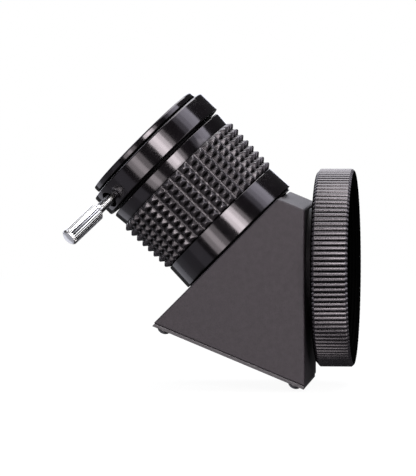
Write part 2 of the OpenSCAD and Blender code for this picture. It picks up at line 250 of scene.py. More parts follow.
def combined(base, others, operation="DIFFERENCE"):
    """Exact boolean of meshes in one frame."""
    obj = bpy.data.objects.new("boolean", base)
    scene.collection.objects.link(obj)
    tools = []
    for i, mesh in enumerate(others):
        tool = bpy.data.objects.new(f"tool{i}", mesh)
        scene.collection.objects.link(tool)
        mod = obj.modifiers.new(f"m{i}", "BOOLEAN")
        mod.solver, mod.operation, mod.object = "EXACT", operation, tool
        tools.append(tool)
    graph = bpy.context.evaluated_depsgraph_get()
    out = bpy.data.meshes.new_from_object(obj.evaluated_get(graph))
    for used in [obj] + tools:
        bpy.data.objects.remove(used)
    return out


def bevelled(mesh, width, steps=3, angle=30):
    """Rounds every edge sharper than angle degrees."""
    bm = bmesh.new()
    bm.from_mesh(mesh)
    limit = math.radians(angle)
    edges = [e for e in bm.edges if len(e.link_faces) == 2 and e.calc_face_angle(0) > limit]
    bmesh.ops.bevel(bm, geom=edges, offset=width * MM, segments=steps, profile=0.5, affect="EDGES",
                    clamp_overlap=True)
    bm.to_mesh(mesh)
    bm.free()
    return mesh


def piece(name, mesh, place, body, slot, replaces, smooth=35, weighted=False):
    """Puts a finished mesh in the scene, riding on a CAD body and standing for CAD nodes. Edges sharper
    than smooth degrees stay sharp. Each point keeps its place in the piece's own frame, for the
    material's marks."""
    mesh.name = name
    mesh.polygons.foreach_set("use_smooth", [True] * len(mesh.polygons))
    mesh.set_sharp_from_angle(angle=math.radians(smooth))
    own = np.array([v.co for v in mesh.vertices], np.float32)
    own_place = mesh.attributes.new("own_place", "FLOAT_VECTOR", "POINT")
    own_place.data.foreach_set("vector", own.ravel())
    has_place = mesh.attributes.new("has_place", "FLOAT", "POINT")
    has_place.data.foreach_set("value", np.ones(len(own), np.float32))
    mesh.transform(place)
    obj = bpy.data.objects.new(name, mesh)
    scene.collection.objects.link(obj)
    mesh.materials.clear()
    mesh.materials.append(MATERIALS[slot])
    if weighted:
        mod = obj.modifiers.new("weighted", "WEIGHTED_NORMAL")
        mod.keep_sharp = True
    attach(obj, body)
    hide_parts(*replaces)


# ---------------------------------------------------------------- materials

class Nodes:
    """Short calls for building a node material. Lengths are in millimetres."""

    def __init__(self, name):
        self.material = bpy.data.materials.new(name)
        self.material.use_nodes = True
        self.tree = self.material.node_tree
        self.shader = self.tree.nodes["Principled BSDF"]
        # A piece carries its place in its own frame. A CAD node has none, so its object coordinates count.
        own = self.add("ShaderNodeAttribute", attribute_name="own_place")
        has = self.add("ShaderNodeAttribute", attribute_name="has_place")
        pick = self.add("ShaderNodeMix", data_type="VECTOR")
        self.feed(pick.inputs[0], has.outputs["Fac"])
        self.feed(pick.inputs[4], self.add("ShaderNodeTexCoord").outputs["Object"])
        self.feed(pick.inputs[5], own.outputs["Vector"])
        self.coords = pick.outputs[1]

    def add(self, kind, inputs=None, **settings):
        node = self.tree.nodes.new(kind)
        for key, value in settings.items():
            setattr(node, key, value)
        for key, value in (inputs or {}).items():
            self.feed(node.inputs[key], value)
        return node

    def feed(self, socket, value):
        """Links a node's output to a socket, or sets the socket to a plain value."""
        if isinstance(value, bpy.types.NodeSocket):
            self.tree.links.new(value, socket)
        else:
            socket.default_value = value

    def set(self, **values):
        """Sets the shader's inputs."""
        for key, value in values.items():
            self.feed(self.shader.inputs[key.replace("_", " ")], value)

    def noise(self, scale, detail=3.0, roughness=0.55, vector=None, distortion=0.0):
        """Noise with its scale in features per millimetre."""
        node = self.add("ShaderNodeTexNoise", {
            "Vector": vector or self.coords, "Scale": scale / MM, "Detail": detail,
            "Roughness": roughness, "Distortion": distortion})
        return node.outputs["Fac"]

    def ramp(self, value, low, high, to_low=0.0, to_high=1.0):
        """A value's stretch from low to high, spread over to_low to to_high and clamped."""
        node = self.add("ShaderNodeMapRange", {"Value": value, "From Min": low, "From Max": high,
                                               "To Min": to_low, "To Max": to_high})
        node.clamp = True
        return node.outputs["Result"]

    def mix(self, factor, a, b):
        """Colour a at factor 0 and colour b at factor 1."""
        node = self.add("ShaderNodeMix", data_type="RGBA")
        for index, value in ((0, factor), (6, a), (7, b)):
            self.feed(node.inputs[index], value)
        return node.outputs[2]

    def math(self, operation, a, b):
        node = self.add("ShaderNodeMath", operation=operation)
        self.feed(node.inputs[0], a)
        self.feed(node.inputs[1], b)
        return node.outputs[0]

    def times(self, a, b):
        """The product of two values."""
        return self.math("MULTIPLY", a, b)

    def radius(self):
        """Distance from the local Z, in metres."""
        split = self.add("ShaderNodeSeparateXYZ", {"Vector": self.coords})
        flat = self.add("ShaderNodeCombineXYZ", {"X": split.outputs["X"], "Y": split.outputs["Y"]})
        length = self.add("ShaderNodeVectorMath", operation="LENGTH")
        self.feed(length.inputs[0], flat.outputs["Vector"])
        return length.outputs["Value"]

    def round_coords(self):
        """A vector that is constant round the local Z, for lathe marks."""
        split = self.add("ShaderNodeSeparateXYZ", {"Vector": self.coords})
        join = self.add("ShaderNodeCombineXYZ", {"X": self.radius(), "Y": split.outputs["Z"]})
        return join.outputs["Vector"]

    def bump(self, height, depth, normal=None):
        """The normal over marks of this depth."""
        node = self.add("ShaderNodeBump", {"Height": height, "Distance": depth * MM, "Strength": 1.0})
        if normal is not None:
            self.feed(node.inputs["Normal"], normal)
        return node.outputs["Normal"]

    def open_air(self, distance, low, high):
        """0 where surfaces within this distance hide the sky, 1 out in the open."""
        node = self.add("ShaderNodeAmbientOcclusion", {"Distance": distance * MM}, samples=12)
        return self.ramp(node.outputs["AO"], low, high)

    def soft_edges(self, radius):
        """The normal, as if edges had this radius."""
        return self.add("ShaderNodeBevel", {"Radius": radius * MM}, samples=4).outputs["Normal"]

    def edge_mask(self, radius):
        """1 along edges of about this radius, 0 on flat or smooth stretches."""
        geometry = self.add("ShaderNodeNewGeometry")
        dot = self.add("ShaderNodeVectorMath", operation="DOT_PRODUCT")
        self.feed(dot.inputs[0], self.soft_edges(radius))
        self.feed(dot.inputs[1], geometry.outputs["Normal"])
        return self.ramp(dot.outputs["Value"], 0.985, 0.86)


def rgb(r, g, b):
    """A colour with full alpha, as sockets take it."""
    return (r, g, b, 1.0)


SHEEN_TINT = rgb(1.0, 0.92, 0.99)
# Near black painted where anodised parts lie in shade: painted shade.
SHADE_BLACK = rgb(0.001, 0.001, 0.001)


def paint(name, dark, light, rough=(0.5, 0.62), grain=3.2, depth=0.02, level=0.4):
    """Fine crackled paint on a casting: mottled colour, dark specks, grain bump and rubbed edges."""
    worn = rgb(0.2, 0.2, 0.2)
    n = Nodes(name)
    blotch = n.ramp(n.noise(0.55, 5.0), 0.35, 0.68)
    grain_height = n.noise(grain, 5.0, 0.62)
    speck = n.ramp(n.noise(grain * 0.55, 2.0), 0.6, 0.72)
    wear = n.times(n.edge_mask(0.35), n.ramp(n.noise(1.1, 4.0), 0.45, 0.7))
    colour = n.mix(n.times(blotch, 0.75), rgb(*dark), rgb(*light))
    colour = n.mix(n.times(speck, 0.4), colour, rgb(*[c * 0.55 for c in dark]))
    colour = n.mix(n.times(wear, 0.5), colour, worn)
    n.set(Base_Color=colour, Roughness=n.ramp(grain_height, 0.3, 0.7, *rough), Specular_IOR_Level=level,
          Specular_Tint=SHEEN_TINT, Normal=n.bump(grain_height, depth))
    return n.material


def anodised(name, dark, light, rough, worn, level=0.5, marks=0.0008, shiny_r=0.0, groove=0.0):
    """Turned and anodised metal: faint rings from the tool, cloudy sheen and pale worn edges. Inside
    shiny_r, in millimetres from the axis, it is painted near black with no shine, as painted shade, and in
    grooves about as wide as groove it is painted near black with no shine, as painted shade too."""
    edge = 0.12
    n = Nodes(name)
    rings = n.noise(7.0, 2.0, 0.5, n.round_coords())
    cloud = n.noise(0.25, 4.0)
    smear = n.noise(1.4, 5.0, 0.6)
    wear = n.times(n.edge_mask(edge), n.ramp(n.noise(2.2, 5.0), 0.42, 0.66))
    colour = n.mix(n.ramp(cloud, 0.35, 0.7), rgb(*dark), rgb(*light))
    colour = n.mix(n.times(wear, 0.5), colour, rgb(*worn))
    uneven = n.math("ADD", n.times(smear, 0.6), n.times(cloud, 0.4))
    gloss = level
    # Painted shade: inside this radius the surface is painted near black and loses its shine.
    if shiny_r:
        outer = n.ramp(n.radius(), (shiny_r - 0.1) * MM, shiny_r * MM)
        gloss = n.times(outer, gloss)
        colour = n.mix(outer, SHADE_BLACK, colour)
    # Painted shade: in narrow grooves, found by ambient occlusion, the surface is painted near black and loses its
    # shine.
    if groove:
        open_air = n.open_air(groove, 0.68, 0.96)
        gloss = n.times(open_air, gloss)
        colour = n.mix(open_air, SHADE_BLACK, colour)
    n.set(Base_Color=colour, Roughness=n.ramp(uneven, 0.35, 0.65, *rough), Specular_IOR_Level=gloss,
          Specular_Tint=SHEEN_TINT, Normal=n.bump(rings, marks, n.soft_edges(edge)))
    return n.material


def bare_metal(name, dark, light, rough, near=0.4):
    """Bright or plain metal with fine turning marks, painted dark as painted shade where surfaces within near hide
    the sky.
    """
    recess_shade = rgb(0.03, 0.028, 0.027)
    n = Nodes(name)
    rings = n.noise(8.0, 2.0, 0.5, n.round_coords())
    cloud = n.noise(0.6, 4.0)
    colour = n.mix(n.ramp(cloud, 0.3, 0.7), rgb(*dark), rgb(*light))
    # Painted shade: recesses and narrow grooves are painted towards a near-black colour.
    colour = n.mix(n.open_air(near, 0.68, 0.95), recess_shade, colour)
    n.set(Base_Color=colour, Metallic=1.0, Roughness=n.ramp(n.noise(1.6, 4.0), 0.35, 0.65, *rough),
          Normal=n.bump(rings, 0.001))
    return n.material


def rubber(name, dark, light, rough):
    """Moulded rubber: fine pores, dusty tips, and grooves painted near black and without shine, as painted shade.
    """
    dusty, pit_shade = rgb(0.05, 0.048, 0.05), rgb(0.0008, 0.0008, 0.0008)
    n = Nodes(name)
    pores = n.noise(6.0, 4.0, 0.6)
    cloud = n.noise(0.3, 3.0)
    open_air = n.open_air(1.2, 0.58, 0.9)
    dust = n.times(n.edge_mask(0.18), n.ramp(n.noise(1.5, 3.0), 0.4, 0.7))
    colour = n.mix(n.ramp(cloud, 0.35, 0.65), rgb(*dark), rgb(*light))
    # Painted shade: pits and grooves between the studs are painted near black, and their shine is taken away.
    colour = n.mix(open_air, pit_shade, colour)
    colour = n.mix(n.times(dust, 0.15), colour, dusty)
    n.set(Base_Color=colour, Roughness=n.ramp(pores, 0.3, 0.7, *rough),
          Specular_IOR_Level=n.times(open_air, 0.5), Specular_Tint=SHEEN_TINT,
          Normal=n.bump(pores, 0.004, n.soft_edges(0.1)))
    return n.material


def fuzzy(name, dark, light):
    """Felt, or a matt plastic with a fibrous skin."""
    n = Nodes(name)
    fibres = n.noise(5.0, 6.0, 0.75, distortion=2.5)
    n.set(Base_Color=n.mix(n.ramp(fibres, 0.35, 0.65), rgb(*dark), rgb(*light)), Roughness=0.95,
          Sheen_Weight=0.5, Normal=n.bump(fibres, 0.06))
    return n.material


def polished_glass(name):
    """Coated optical glass with a faint film on it."""
    n = Nodes(name)
    film = n.noise(0.15, 3.0)
    n.set(Base_Color=n.mix(n.ramp(film, 0.3, 0.7), rgb(0.93, 0.98, 0.96), rgb(0.96, 0.96, 1.0)),
          Roughness=n.ramp(n.noise(0.9, 5.0), 0.5, 0.8, 0.0, 0.03), IOR=1.52, Transmission_Weight=1.0,
          Coat_Weight=0.6, Coat_Tint=rgb(0.55, 0.75, 0.95), Coat_Roughness=0.02,
          Normal=n.bump(film, 0.0002))
    return n.material


# One material for each slot in the record: its kind, then its darker and lighter colour and settings.
SLOTS = {
    "housing_paint": (paint, (0.0125, 0.0105, 0.0125), (0.0178, 0.015, 0.0178), dict(level=0.24)),
    "cover_paint": (paint, (0.02, 0.019, 0.021), (0.028, 0.027, 0.03),
                    dict(rough=(0.35, 0.5), grain=4.0, depth=0.008)),
    "black_steel": (anodised, (0.018, 0.018, 0.02), (0.03, 0.03, 0.032),
                    dict(rough=(0.25, 0.4), worn=(0.3, 0.29, 0.28))),
    "optical_glass": (polished_glass,),
    "blackened_metal": (paint, (0.012, 0.012, 0.012), (0.02, 0.02, 0.02),
                        dict(rough=(0.6, 0.8), grain=5.0, depth=0.01)),
    "spring_strip": (bare_metal, (0.5, 0.33, 0.16), (0.62, 0.44, 0.22), dict(rough=(0.25, 0.4))),
    "felt": (fuzzy, (0.012, 0.012, 0.012), (0.045, 0.042, 0.04), {}),
    "mask_card": (paint, (0.008, 0.008, 0.008), (0.014, 0.014, 0.014),
                  dict(rough=(0.8, 0.95), grain=6.0, depth=0.006)),
    "satin_anodised": (anodised, (0.0025, 0.0023, 0.0026), (0.0045, 0.0042, 0.0047),
                       dict(rough=(0.5, 0.65), worn=(0.06, 0.06, 0.062), level=0.08, marks=0.0005)),
    "low_friction_plastic": (fuzzy, (0.75, 0.75, 0.72), (0.85, 0.85, 0.82), {}),
    # Painted shade: the coupling ring is painted near black inside 29.2 mm of its axis and in its knurl grooves.
    "ring_anodised": (anodised, (0.006, 0.005, 0.0065), (0.009, 0.008, 0.01),
                      dict(rough=(0.22, 0.32), worn=(0.2, 0.19, 0.2), level=0.75, marks=0.0003,
                           shiny_r=29.2, groove=0.7)),
    # Painted shade: grooves and gaps on the holder are painted near black and lose their shine.
    "gloss_anodised": (anodised, (0.0013, 0.001, 0.0013), (0.0022, 0.0017, 0.0022),
                       dict(rough=(0.1, 0.15), worn=(0.1, 0.1, 0.105), level=0.5, marks=0.00012,
                            groove=1.2)),
    # Painted shade: the stem is painted dark where it sinks into the clamp ring's counterbore.
    "pin_steel": (bare_metal, (0.6, 0.6, 0.62), (0.72, 0.72, 0.74), dict(rough=(0.18, 0.3), near=1.6)),
    "grip_rubber": (rubber, (0.005, 0.0042, 0.005), (0.0078, 0.0066, 0.0078), dict(rough=(0.3, 0.4))),
    # Painted shade: the knob's knurl grooves are painted dark.
    "knob_chrome": (bare_metal, (0.86, 0.86, 0.88), (0.93, 0.93, 0.94), dict(rough=(0.12, 0.2))),
}


def slot_material(name):
    """The material that SLOTS describes for a slot."""
    kind, *values = SLOTS[name]
    if not values:
        return kind(name)
    dark, light, settings = values
    return kind(name, dark, light, **settings)


MATERIALS = {name: slot_material(name) for name in SLOTS}
for row in record["subparts"]:
    node = frame["nodes"][row["node"]]
    node.data.materials.clear()
    node.data.materials.append(MATERIALS[row["material_slot"]])


# ---------------------------------------------------------------- shared shapes

SLIP = 0.02              # clearance between surfaces that touch in use
M2_R = 1.0               # M2 screws: thread, core, pitch, head and the hole for one
M2_CORE_R = 0.72
M2_PITCH = 0.4
M2_HEAD_R = 1.9
M2_HOLE_R = 1.02
PAST = 1.0               # how far a cutter runs on past the face that it opens
SUNK_PAST = 0.5          # the same for the cone of a countersink
FLIP = Matrix.Rotation(math.pi, 4, "X")


def knurl(angle, count, land):
    """0 on the ribs and 1 in the grooves of a straight knurl. land is the share at full height."""
    from_groove = np.abs((angle * count / TAU) % 1.0 - 0.5) * 2
    f = np.clip((1 - from_groove - land) / (1 - land), 0, 1)
    return f * f * (3 - 2 * f)


def thread_wave(height, angle, pitch, starts=1):
    """0 to 1 to 0 along a helical thread, with a small flat at crest and root."""
    phase = (height / pitch - starts * angle / TAU) % 1.0
    return np.clip((1 - np.abs(phase * 2 - 1)) * 1.35 - 0.175, 0, 1)


def cross_cutter(top, depth, reach):
    """Cutter for a cross recess, tapering to its bottom."""
    half_t = 0.2
    foot = reach * 0.55
    outline = [(-reach, top + PAST), (-foot, top - depth), (foot, top - depth), (reach, top + PAST)]
    arm = extruded(outline, -half_t, half_t, "xz")
    return [arm, moved(arm, turned(90))]


def threaded_shank(radius, low, high, pitch, depth=0.16, lead_in=0.3):
    """Points of a shank's side with a sampled thread, and the function that cuts the thread into it."""
    count = int((high - low) / pitch * 8)
    side = line((radius, low), (radius, high), count) + [(radius, high)]

    def cut(r, z, t):
        fade = np.clip((z - low) / lead_in, 0, 1) * np.clip((high - z) / lead_in, 0, 1)
        on_side = np.isclose(r, radius)
        return np.where(on_side, r - depth * fade * (1 - thread_wave(z, t, pitch)), r), z
    return side, cut


def dome_screw(length, head_h):
    """M2 screw: head seat at height 0, shank below, cross recess on top."""
    side, cut = threaded_shank(M2_R, -length + 0.3, -0.05, M2_PITCH)
    ball = 1.25 * (M2_HEAD_R ** 2 + head_h ** 2) / (2 * head_h)
    radii = [M2_HEAD_R * f for f in np.linspace(1, 0, 12)]
    dome = [(r, head_h - ball + math.sqrt(ball ** 2 - r ** 2)) for r in radii]
    rim_h = dome[0][1]
    head = [(M2_R, 0), (M2_HEAD_R - 0.08, 0), (M2_HEAD_R, 0.08), (M2_HEAD_R, rim_h - 0.08),
            (M2_HEAD_R - 0.03, rim_h - 0.01)]
    profile = [(0, -length), (M2_CORE_R, -length)] + side + head + dome[1:]
    return combined(lathe(profile, 40, cut, closed=False), cross_cutter(head_h, 0.75, 1.0))


def flat_screw(length):
    """Countersunk M2 screw with its face at height 0."""
    cone_h = M2_HEAD_R - M2_R
    side, cut = threaded_shank(M2_R, -length + 0.3, -cone_h - 0.05, M2_PITCH)
    head = [(M2_R, -cone_h), (M2_HEAD_R, -0.04), (M2_HEAD_R - 0.05, 0), (0, 0)]
    profile = [(0, -length), (M2_CORE_R, -length)] + side + head
    return combined(lathe(profile, 40, cut, closed=False), cross_cutter(0.0, 0.62, 0.95))


def grub_screw(length):
    """Headless M2 screw from 0 to length with a hexagon socket."""
    socket_corner, socket_depth = 0.5, 1.0
    side, cut = threaded_shank(M2_R, 0.25, length - 0.12, M2_PITCH)
    profile = [(0, 0), (0.7, 0)] + side + [(0.88, length), (0, length)]
    corners = [(socket_corner * math.cos(a), socket_corner * math.sin(a)) for a in np.arange(6) * TAU / 6]
    socket = extruded(corners, length - socket_depth, length + PAST)
    return combined(lathe(profile, 40, cut, closed=False), [socket])


def screw_set(screw, places):
    """Copies of a screw, each with its recess turned its own way."""
    twists = (0.3, 1.1, 0.7, 0.05)
    return joined([moved(screw, place @ Matrix.Rotation(twist, 4, "Z"))
                   for place, twist in zip(places, twists)])


def radially(turn, height):
    """Eyepiece-frame matrix whose Z points outwards. Turn 0 is front, positive is towards the ring."""
    return at(0, 0, height) @ turned(turn - 90) @ turned(90, "Y")


def round_places(count, radius, start):
    """Evenly spaced places round Z, the first at start degrees."""
    return [turned(start + i * 360 / count) @ at(radius, 0, 0) for i in range(count)]


# ---------------------------------------------------------------- housing

WALL = 2.5
HOUSING_EDGE_R, COVER_EDGE_R = 0.55, 0.18
PORT_BORE_R, EYE_BORE_R = 13.5, 14.0
BOSS_R, BOSS_H = 3.0, 8.0
SCREW_HOLE_DEPTH = 5.4       # just short of the port faces, which lean in over the corners
CLEAR_HOLE_R = 1.1
CRADLE_SCREW_X = 7

housing_points = in_frame("prism_housing", WEDGE)
base_u, top_u = -housing_points[:, 2].min(), -housing_points[:, 2].max()
half_w = housing_points[:, 1].max()
eye_port = in_frame("prism_housing", EYE)[:, 2].max()
port_h = face_x / MM
cover_low = in_frame("base_cover", WEDGE)[:, 2].min()
screw_points = in_frame("cover_screws", WEDGE)
screw_x = (screw_points[:, 0].max() - screw_points[:, 0].min()) / 2 - M2_HEAD_R
screw_y = screw_points[:, 1].max() - M2_HEAD_R
corners = [at(sx * screw_x, sy * screw_y, 0) for sx in (-1, 1) for sy in (-1, 1)]
cradle_places = [at(side * CRADLE_SCREW_X, 0, 0) for side in (-1, 1)]


def wedge_outline(u0, u1, inset=0.0):
    """The wedge's outline between two distances down from its edge, moved in from the port faces."""
    x0, x1 = ((u - inset / math.sin(LEAN)) * SLOPE for u in (u0, u1))
    return [(-x0, -u0), (x0, -u0), (x1, -u1), (-x1, -u1)]


def housing_casting():
    """Hollow wedge with two port bores and four screw bosses inside its corners."""
    shell = bevelled(extruded(wedge_outline(top_u, base_u), -half_w, half_w, "xz"), HOUSING_EDGE_R, 4)
    inner = wedge_outline(top_u + WALL, base_u + 2 * PAST, WALL)
    cavity = extruded(inner, -half_w + WALL, half_w - WALL, "xz")
    boss = rod(BOSS_R, -base_u - 3 * PAST, -base_u + BOSS_H, 40)
    screw_hole = rod(M2_HOLE_R, -base_u - PAST, -base_u + SCREW_HOLE_DEPTH)
    bosses = [moved(boss, place) for place in corners]
    cutters = [combined(cavity, bosses)]
    for frame_in_wedge, bore_r, height in ((seen_from(PORT, WEDGE), PORT_BORE_R, port_h),
                                           (seen_from(EYE, WEDGE), EYE_BORE_R, eye_port)):
        cutters.append(moved(rod(bore_r, -WALL - PAST, PAST, 128), frame_in_wedge @ at(0, 0, height)))
    cutters += [moved(screw_hole, place) for place in corners]
    piece("housing_casting", combined(shell, cutters), WEDGE, "housing", "housing_paint",
          ["prism_housing"], smooth=40, weighted=True)


def base_plate():
    """Sheet under the housing, with clear holes at its corners and two countersunk ones inside."""
    outline = wedge_outline(base_u, -cover_low, 0.3)
    half_plate = half_w - 0.4
    plate = bevelled(extruded(outline, -half_plate, half_plate, "xz"), COVER_EDGE_R, 2)
    clear_hole = rod(CLEAR_HOLE_R, cover_low - PAST, cover_low + 2 * PAST)
    sunk_r = M2_HEAD_R + 0.05
    sunk = cone(sunk_r + SUNK_PAST, M2_R, cover_low - SUNK_PAST, cover_low + sunk_r - M2_R)
    sunk_hole = rod(M2_HOLE_R, cover_low + 0.5, cover_low + 2 * PAST)
    cutters = [moved(clear_hole, place) for place in corners]
    for place in cradle_places:
        cutters += [moved(sunk, place), moved(sunk_hole, place)]
    piece("base_plate", combined(plate, cutters), WEDGE, "housing", "cover_paint", ["base_cover"],
          smooth=40, weighted=True)


def base_screws():
    """Four domed screws that hold the plate and two flat ones that hold the prism's cradle on it."""
    under = at(0, 0, cover_low) @ FLIP
    domed = screw_set(dome_screw(length=6.5, head_h=1.39), [place @ under for place in corners])
    piece("base_screws", domed, WEDGE, "housing", "black_steel", ["cover_screws"])
    flat = screw_set(flat_screw(length=2.5), [place @ under for place in cradle_places])
    piece("cradle_screw_pair", flat, WEDGE, "housing", "black_steel", ["cradle_screws"])


def glass_prism():
    """Roof prism: two faces square to the ports and a 90-degree roof below, meeting at its lowest line."""
    port_gap, roof_half_l = 6.0, 16
    points = in_frame("roof_prism", WEDGE)
    half = points[:, 1].max()
    roof_u, flat_u = -points[:, 2].min(), -points[:, 2].max()
    wide = extruded(wedge_outline(flat_u, roof_u + PAST, port_gap), -half - 2 * PAST, half + 2 * PAST, "xz")
    roof = [(0, -roof_u), (half, -roof_u + half), (half, 0), (-half, 0), (-half, -roof_u + half)]
    along_x = Matrix(((0, 0, 1, 0), (1, 0, 0, 0), (0, 1, 0, 0), (0, 0, 0, 1)))
    glass = combined(wide, [moved(extruded(roof, -roof_half_l, roof_half_l), along_x)], "INTERSECT")
    piece("glass_prism", bevelled(glass, 0.15, 1, 20), WEDGE, "housing", "optical_glass", ["roof_prism"],
          smooth=5)


# ---------------------------------------------------------------- coupling

NECK_R, BORE_R, RIM_L = 18.0, 12.3, 2.0
SPIGOT_R = PORT_BORE_R - SLIP
FLANGE_SCREWS_R = 15.7
RIBS, RIB_DEPTH, RIB_LAND = 120, 0.5, 0.32
RING_HOLE_R, RING_RECESS_R, LIP_T = 18.06, 25.6, 2.5
BACK_CHAMFER_W, BACK_CHAMFER_H, FRONT_CHAMFER, MOUTH_CHAMFER_W = 1.3, 1.1, 0.62, 0.75
THREAD_PITCH, THREAD_DEPTH = 25.4 / 24, 0.57
minor_r = MOUNTS["telescope_thread"]["dims"]["r_mm"]


def seat_flange():
    """Neck and rim that hold the ring, with shallow anti-reflection rings in the bore."""
    rim_r = span("coupling_flange", PORT)[3]
    body = rounded([(BORE_R, port_h - WALL), (SPIGOT_R, port_h - WALL), (SPIGOT_R, port_h), (NECK_R, port_h),
                    (NECK_R, -RIM_L), (rim_r, -RIM_L), (rim_r, 0), (BORE_R, 0)],
                   [0.1, 0.1, 0, 0, 0.1, 0.3, 0.3, 0.35], 3)
    bore_side = line((BORE_R, -0.6), (BORE_R, port_h - WALL + 0.6), 48)
    groove_depth, groove_pitch = 0.18, 0.6

    def grooved(r, z, t):
        inside = np.isclose(r, BORE_R) & (z < -0.5) & (z > port_h - WALL + 0.5)
        return np.where(inside, r + groove_depth * thread_wave(z, t, groove_pitch), r), z

    places = round_places(4, FLANGE_SCREWS_R, 45)
    hole = rod(M2_HOLE_R, port_h - PAST, PAST)
    sunk_r = M2_HEAD_R + 0.04
    sunk = cone(M2_HOLE_R, sunk_r + SUNK_PAST, M2_HOLE_R - sunk_r, SUNK_PAST)
    cutters = []
    for place in places:
        cutters += [moved(hole, place), moved(sunk, place)]
    piece("seat_flange", combined(lathe(body + bore_side, 144, grooved), cutters), PORT, "housing",
          "satin_anodised", ["coupling_flange"])
    screw_l = -port_h + WALL - 2 * SLIP
    screws = screw_set(flat_screw(screw_l), [place @ at(0, 0, -SLIP) for place in places])
    piece("seat_flange_screws", screws, PORT, "housing", "black_steel", ["flange_screws"])


def coupling_nut():
    """Straight-knurled ring with a sampled helical thread in it and a lip that runs on the neck."""
    low, high, _, cad_r = span("lock_ring", PORT)
    ring_r = cad_r - 0.004
    thread_end = high - 0.4
    outer = rounded([(RING_HOLE_R, low), (ring_r - BACK_CHAMFER_W, low), (ring_r, low + BACK_CHAMFER_H),
                     (ring_r, high - FRONT_CHAMFER - 0.04), (ring_r - FRONT_CHAMFER, high),
                     (minor_r + MOUTH_CHAMFER_W, high)],
                    [0.15, 0.2, 0.3, 0.2, 0.15, 0.1], 3, closed=False)
    thread_side = line((minor_r, thread_end), (minor_r, 0.0), 42)
    inner = [(minor_r, 0.0), (RING_RECESS_R, 0.0), (RING_RECESS_R, low + LIP_T), (RING_HOLE_R, low + LIP_T)]

    def ribbed(r, z, t):
        r = np.where(r > ring_r - 2.0, r - RIB_DEPTH * knurl(t, RIBS, RIB_LAND), r)
        cut = np.isclose(r, minor_r) & (z > 0.01) & (z <= thread_end)
        fade = np.clip(z / 0.5, 0, 1)
        return np.where(cut, r + THREAD_DEPTH * fade * (1 - thread_wave(z, t, THREAD_PITCH)), r), z

    piece("coupling_nut", lathe(outer + thread_side + inner, RIBS * 8, ribbed), PORT, "coupling_ring",
          "ring_anodised", ["lock_ring"], smooth=50)


def slip_washer():
    """Washer between the ring's lip and the flange's rim."""
    low, high, in_r, out_r = span("ring_washer", PORT)
    profile = rounded([(in_r, low), (out_r, low), (out_r, high), (in_r, high)], 0.1, 2)
    piece("slip_washer", lathe(profile, 144), PORT, "housing", "low_friction_plastic", ["ring_washer"])


# ---------------------------------------------------------------- eyepiece holder, fixed part

DRAW_R = 17.5
GUIDE_R = DRAW_R + 1.1
COLLAR_H, COLLAR_TOP_R = 8.8, 21.5
UNDERCUT_H, UNDERCUT_R = 0.7, 21.0
FLOOR_T, FLOOR_HOLE_R = 0.9, 12.6
GROOVE_H, GROOVE_W, GROOVE_DEPTH = 12.4, 2.2, 0.5
holder_low, guide_top, _, collar_r = span("holder_base", EYE)


def holder_collar():
    """Collar over a thin undercut, with the guide tube that the focus ring turns on."""
    spigot_r = EYE_BORE_R - SLIP
    collar_top = eye_port + COLLAR_H
    groove_low, groove_high = eye_port + GROOVE_H, eye_port + GROOVE_H + GROOVE_W
    groove_r = GUIDE_R - GROOVE_DEPTH
    profile = rounded([
        (FLOOR_HOLE_R, holder_low), (spigot_r, holder_low), (spigot_r, eye_port), (UNDERCUT_R, eye_port),
        (UNDERCUT_R, eye_port + UNDERCUT_H), (collar_r, eye_port + UNDERCUT_H), (COLLAR_TOP_R, collar_top),
        (GUIDE_R, collar_top), (GUIDE_R, groove_low), (groove_r, groove_low), (groove_r, groove_high),
        (GUIDE_R, groove_high), (GUIDE_R, guide_top), (DRAW_R + 0.05, guide_top),
        (DRAW_R + 0.05, eye_port + FLOOR_T), (FLOOR_HOLE_R, eye_port + FLOOR_T)],
        [0.1, 0.1, 0, 0, 0, 0.1, 0.25, 0, 0, 0, 0, 0, 0.2, 0.1, 0, 0.2], 4)
    piece("holder_collar", lathe(profile, 192), EYE, "housing", "gloss_anodised", ["holder_base"], smooth=40)


# ---------------------------------------------------------------- turning ring and rubber grip

SEAT_R = 20.6
STUD_ROWS, STUD_COLUMNS, STUD_STEPS = 8, 40, 12
STUD_H, TIP_RISE = 1.08, 0.6
ring_thread_low = guide_top + 0.4
sleeve_low, sleeve_high, _, tip_r = span("grip_sleeve", EYE)


def turning_ring():
    """Ring with a seat for the rubber and a bare lip above it."""
    _, top, _, lip_r = span("grip_ring", EYE)
    profile = rounded([
        (GUIDE_R + 0.05, sleeve_low), (SEAT_R, sleeve_low), (SEAT_R, sleeve_high + SLIP),
        (lip_r - 0.4, sleeve_high + SLIP), (lip_r, top - 0.3), (lip_r - 0.3, top), (DRAW_R + 0.05, top),
        (DRAW_R + 0.05, ring_thread_low), (GUIDE_R + 0.05, ring_thread_low)],
        [0.1, 0.1, 0, 0.12, 0.2, 0.2, 0.3, 0.1, 0], 4)
    piece("turning_ring", lathe(profile, 192), EYE, "focus_ring", "gloss_anodised", ["grip_ring"], smooth=40)


def stud_profile(phase, tip, floor):
    """Height lost, as a share, across one stud: 0 on its blunt tip, 1 from the floor's edge on. tip and
    floor are shares of the way from the stud's middle to the next stud's."""
    d = np.clip((np.abs(phase - 0.5) * 2 - tip) / (floor - tip), 0, 1)
    return d ** 1.15


